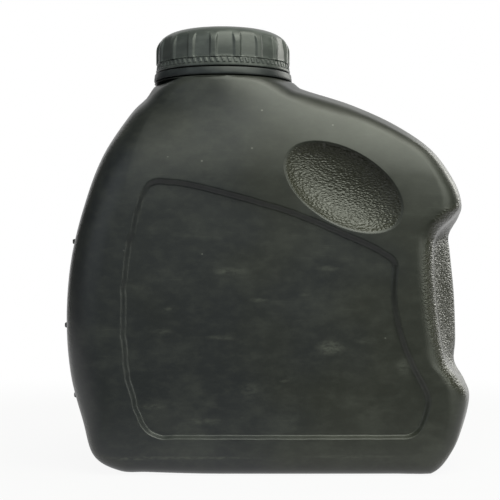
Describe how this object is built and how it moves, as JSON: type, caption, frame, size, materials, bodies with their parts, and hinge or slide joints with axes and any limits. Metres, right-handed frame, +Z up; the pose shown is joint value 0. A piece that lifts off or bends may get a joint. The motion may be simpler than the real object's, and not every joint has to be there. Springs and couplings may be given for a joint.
{
  "type": "plastic oil can",
  "caption": "Squat flat blow-moulded oil bottle with recessed label panels, thumb dishes, a waisted grip and a wide screw cap over a tamper ring.",
  "frame": {"origin": "on the surface the bottle stands on, under the middle of its bounding box", "axes": "+Z up through the bottle, +X towards the finger grip, -Y out of the front face, which the picture shows"},
  "size_m": [0.1478, 0.066, 0.1587],
  "materials": {
    "bottle_shell": "black polyethylene, satin with a pebbled grip",
    "cap_plastic": "black moulded plastic, satin",
    "liner_foam": "white expanded foam"
  },
  "bodies": {
    "can": {"bottle": "bottle_shell", "tamper_ring": "cap_plastic"},
    "liner": {"cap_liner": "liner_foam"},
    "cap": {"screw_cap": "cap_plastic"}
  },
  "joints": [
    {"name": "cap_lift", "type": "slide", "parent": "can", "child": "liner", "axis": [0, 0, 1], "range_m": [0, 0.0081]},
    {"name": "cap_turn", "type": "hinge", "parent": "liner", "child": "cap", "pos_m": [-0.016, 0, 0.15], "axis": [0, 0, 1], "range_deg": [0, 720]}
  ],
  "couplings": [
    {"joint": "cap_lift", "follows": "cap_turn", "m_per_rad": 0.00063662}
  ]
}
